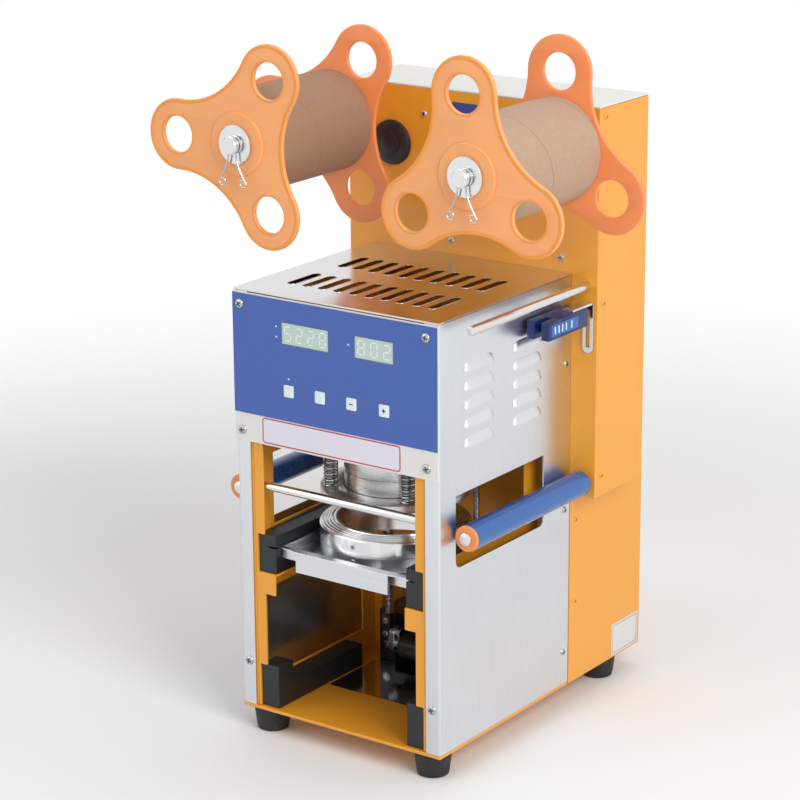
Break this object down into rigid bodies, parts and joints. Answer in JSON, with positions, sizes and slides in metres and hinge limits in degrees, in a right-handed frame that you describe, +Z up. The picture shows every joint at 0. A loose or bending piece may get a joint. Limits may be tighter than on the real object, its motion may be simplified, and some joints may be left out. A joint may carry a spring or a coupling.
{
  "type": "cup sealing machine",
  "caption": "Table-top cup sealer: open body with a sliding mold tray under a lifting heated head, a control panel, side film rollers and two three-lobed film reels on a rear column.",
  "frame": {"origin": "middle of the box round the machine, on the surface that its feet stand on", "axes": "+X to the machine's right as its user faces away from it, +Y from the front panel to the back, +Z up"},
  "size_m": [0.4367, 0.3424, 0.6417],
  "materials": {
    "orange_paint": "satin powder coat",
    "stainless": "fine brushed",
    "polished_steel": "polished",
    "machined_aluminium": "turned",
    "black_plastic": "matt",
    "black_paint": "satin",
    "foot_rubber": "matt",
    "panel_blue": "printed film",
    "cream_paint": "satin",
    "key_plastic": "satin",
    "board_green": "solder mask",
    "cardboard": "wound kraft paper",
    "reel_orange": "moulded",
    "roller_blue": "satin tube"
  },
  "bodies": {
    "machine": {"base_plate": "orange_paint", "mirror_pan": "polished_steel", "foot_front_left": "foot_rubber", "foot_front_right": "foot_rubber", "foot_rear_left": "foot_rubber", "foot_rear_right": "foot_rubber", "side_cover_left": "stainless", "side_cover_right": "stainless", "top_cover": "stainless", "front_panel": "cream_paint", "panel_film": "panel_blue", "control_board": "board_green", "inner_frame_left": "orange_paint", "inner_frame_right": "orange_paint", "lower_rail_left": "black_plastic", "lower_rail_right": "black_plastic", "upper_rail_left": "black_plastic", "upper_rail_right": "black_plastic", "front_bar": "polished_steel", "bridge_plate": "stainless", "gear_motor": "black_paint", "column_shell": "orange_paint", "column_cap": "cream_paint", "column_boss": "black_plastic", "lower_cabinet": "orange_paint", "power_inlet": "black_plastic", "reel_shaft_left": "polished_steel", "reel_shaft_right": "polished_steel", "roller_axle_left": "polished_steel", "roller_axle_right": "polished_steel", "guide_rod": "polished_steel", "film_sensor": "roller_blue", "sensor_bracket": "polished_steel"},
    "sliding_tray": {"tray": "stainless", "mold_body": "machined_aluminium", "mold_ring": "machined_aluminium"},
    "sealing_head": {"head_plate": "machined_aluminium", "heater_block": "machined_aluminium", "presser_spring_1": "polished_steel", "presser_spring_2": "polished_steel", "presser_spring_3": "polished_steel", "presser_spring_4": "polished_steel", "lift_rod_left": "polished_steel", "lift_rod_right": "polished_steel", "rod_spring_left": "polished_steel", "rod_spring_right": "polished_steel"},
    "presser": {"presser_plate": "polished_steel"},
    "crank": {"crank_shaft": "stainless"},
    "reel_left": {"reel_front_left": "reel_orange", "reel_rear_left": "reel_orange", "film_core_left": "cardboard"},
    "reel_right": {"reel_front_right": "reel_orange", "reel_rear_right": "reel_orange", "film_core_right": "cardboard"},
    "roller_left": {"film_roller_left": "roller_blue"},
    "roller_right": {"film_roller_right": "roller_blue"},
    "key_power": {"key_1": "key_plastic"},
    "key_set": {"key_2": "key_plastic"},
    "key_minus": {"key_3": "key_plastic"},
    "key_plus": {"key_4": "key_plastic"}
  },
  "joints": [
    {"name": "tray_slide", "type": "slide", "parent": "machine", "child": "sliding_tray", "axis": [0, -1, 0], "range_m": [0, 0.14]},
    {"name": "head_slide", "type": "slide", "parent": "machine", "child": "sealing_head", "axis": [0, 0, -1], "range_m": [0, 0.02]},
    {"name": "presser_lift", "type": "slide", "parent": "sealing_head", "child": "presser", "axis": [0, 0, 1], "range_m": [0, 0.004], "stiffness_N_per_m": 2000, "deforming": ["presser_spring_1", "presser_spring_2", "presser_spring_3", "presser_spring_4"]},
    {"name": "crank_turn", "type": "hinge", "parent": "machine", "child": "crank", "pos_m": [0, -0.0215, 0.0516], "axis": [1, 0, 0], "range_deg": [0, 180]},
    {"name": "reel_left_spin", "type": "hinge", "parent": "machine", "child": "reel_left", "pos_m": [-0.12165, -0.075, 0.5415], "axis": [0, 1, 0], "continuous": true},
    {"name": "reel_right_spin", "type": "hinge", "parent": "machine", "child": "reel_right", "pos_m": [0.12165, -0.075, 0.5415], "axis": [0, 1, 0], "continuous": true},
    {"name": "roller_left_spin", "type": "hinge", "parent": "machine", "child": "roller_left", "pos_m": [-0.124, -0.055, 0.2255], "axis": [0, 1, 0], "continuous": true},
    {"name": "roller_right_spin", "type": "hinge", "parent": "machine", "child": "roller_right", "pos_m": [0.124, -0.055, 0.2255], "axis": [0, 1, 0], "continuous": true},
    {"name": "key_power_press", "type": "slide", "parent": "machine", "child": "key_power", "axis": [0, 1, 0], "range_m": [0, 0.0008], "stiffness_N_per_m": 400},
    {"name": "key_set_press", "type": "slide", "parent": "machine", "child": "key_set", "axis": [0, 1, 0], "range_m": [0, 0.0008], "stiffness_N_per_m": 400},
    {"name": "key_minus_press", "type": "slide", "parent": "machine", "child": "key_minus", "axis": [0, 1, 0], "range_m": [0, 0.0008], "stiffness_N_per_m": 400},
    {"name": "key_plus_press", "type": "slide", "parent": "machine", "child": "key_plus", "axis": [0, 1, 0], "range_m": [0, 0.0008], "stiffness_N_per_m": 400}
  ],
  "couplings": [
    {"joint": "crank_turn", "follows": "head_slide", "rad_per_m": 157}
  ]
}
